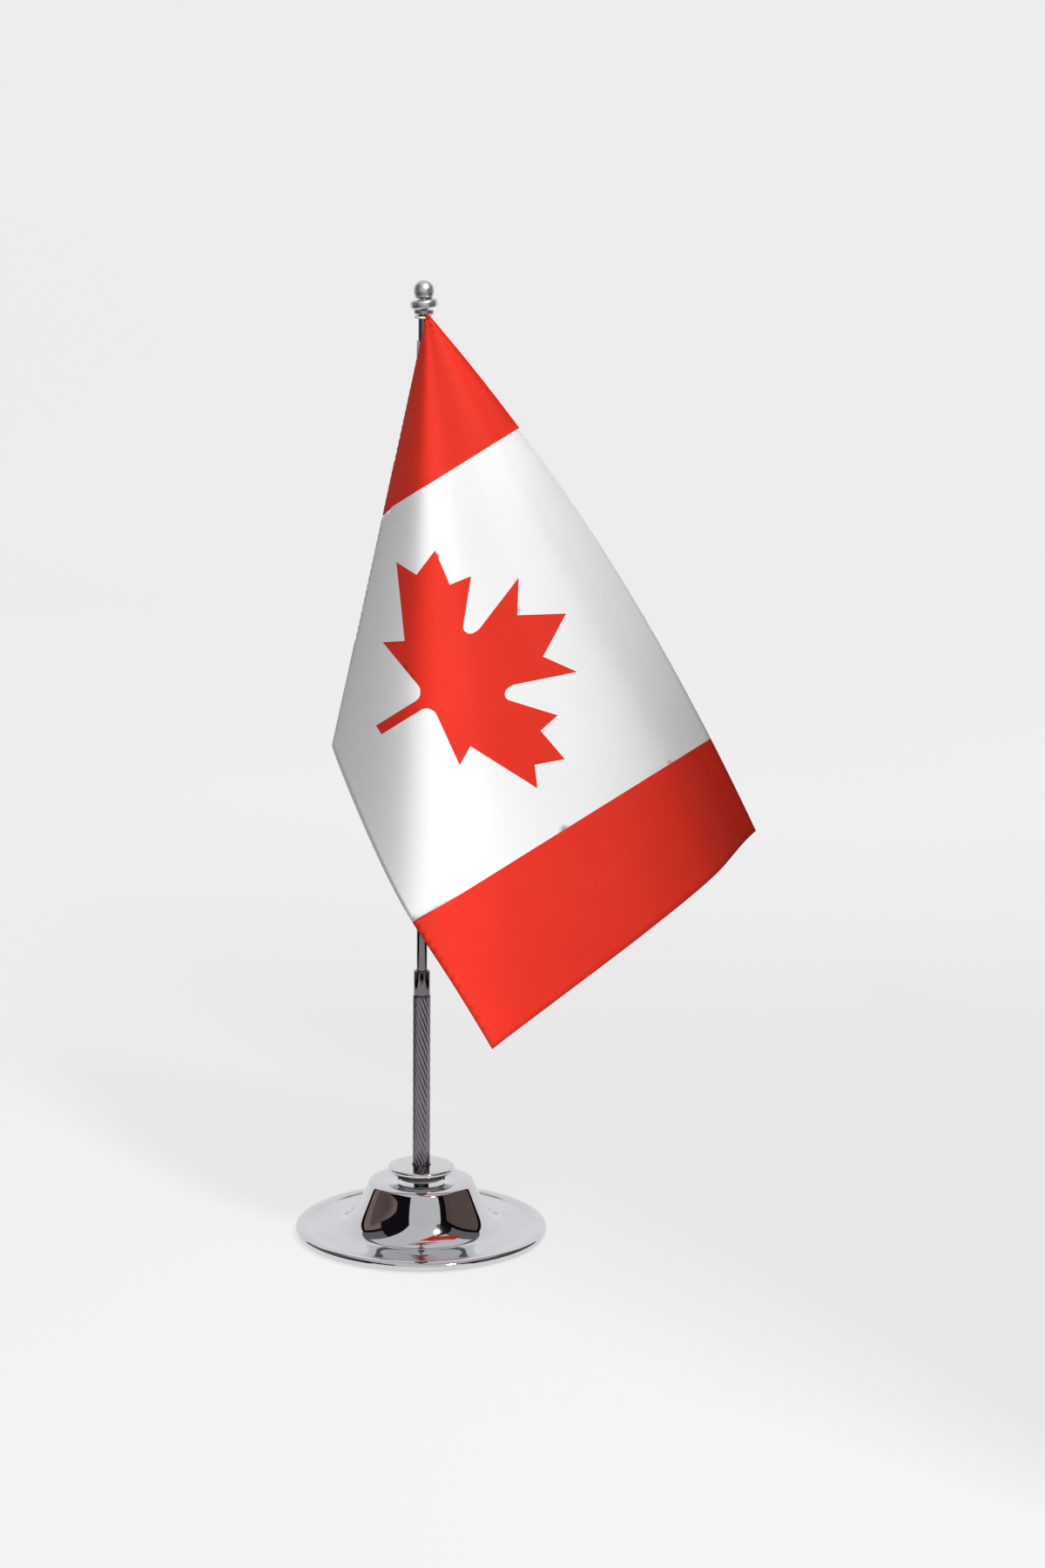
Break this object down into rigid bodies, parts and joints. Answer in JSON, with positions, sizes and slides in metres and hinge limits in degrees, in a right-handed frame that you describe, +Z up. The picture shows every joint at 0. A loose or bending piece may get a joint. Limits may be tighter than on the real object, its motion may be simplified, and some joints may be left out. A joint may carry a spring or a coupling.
{
  "type": "desk flag stand",
  "caption": "Table flag stand: weighted round base, telescopic fluted mast with finial, and a draped cloth flag that swivels.",
  "frame": {"origin": "centre of the underside, on the table", "axes": "+Z up along the mast, -Y towards the front of the flag, +X towards its fly end"},
  "size_m": [0.1899, 0.1245, 0.4003],
  "materials": {
    "chrome": "polished",
    "steel": "zinc plated",
    "iron": "as cast",
    "brass": "turned",
    "nylon": "moulded",
    "rubber": "matte",
    "felt": "felt",
    "flag": "satin polyester",
    "heading": "woven polyester"
  },
  "bodies": {
    "base": {"felt_pad": "felt", "base_plate": "steel", "ballast_weight": "iron", "base_shell": "chrome", "mast_stud": "steel", "stud_nut": "steel", "spring_washer": "steel", "stud_washer": "steel", "socket_gasket": "nylon", "mast_socket": "chrome", "lower_tube": "chrome", "collar": "chrome", "guide_bush": "nylon"},
    "mast": {"upper_tube": "chrome", "stop_sleeve": "brass", "end_plug": "brass", "head_plug": "steel", "finial": "chrome", "sleeve_stop": "rubber"},
    "ring": {"hanger_ring": "chrome"},
    "flag": {"flag_cloth": "flag", "hoist_sleeve": "heading", "tie_cord": "heading"}
  },
  "joints": [
    {"name": "mast_slide", "type": "slide", "parent": "base", "child": "mast", "axis": [0, 0, 1], "range_m": [-0.054, 0]},
    {"name": "flag_swivel", "type": "hinge", "parent": "mast", "child": "flag", "pos_m": [0, 0, 0.31], "axis": [0, 0, 1], "continuous": true},
    {"name": "ring_spin", "type": "hinge", "parent": "mast", "child": "ring", "pos_m": [0, 0, 0.3909], "axis": [0, 0, 1], "continuous": true}
  ]
}
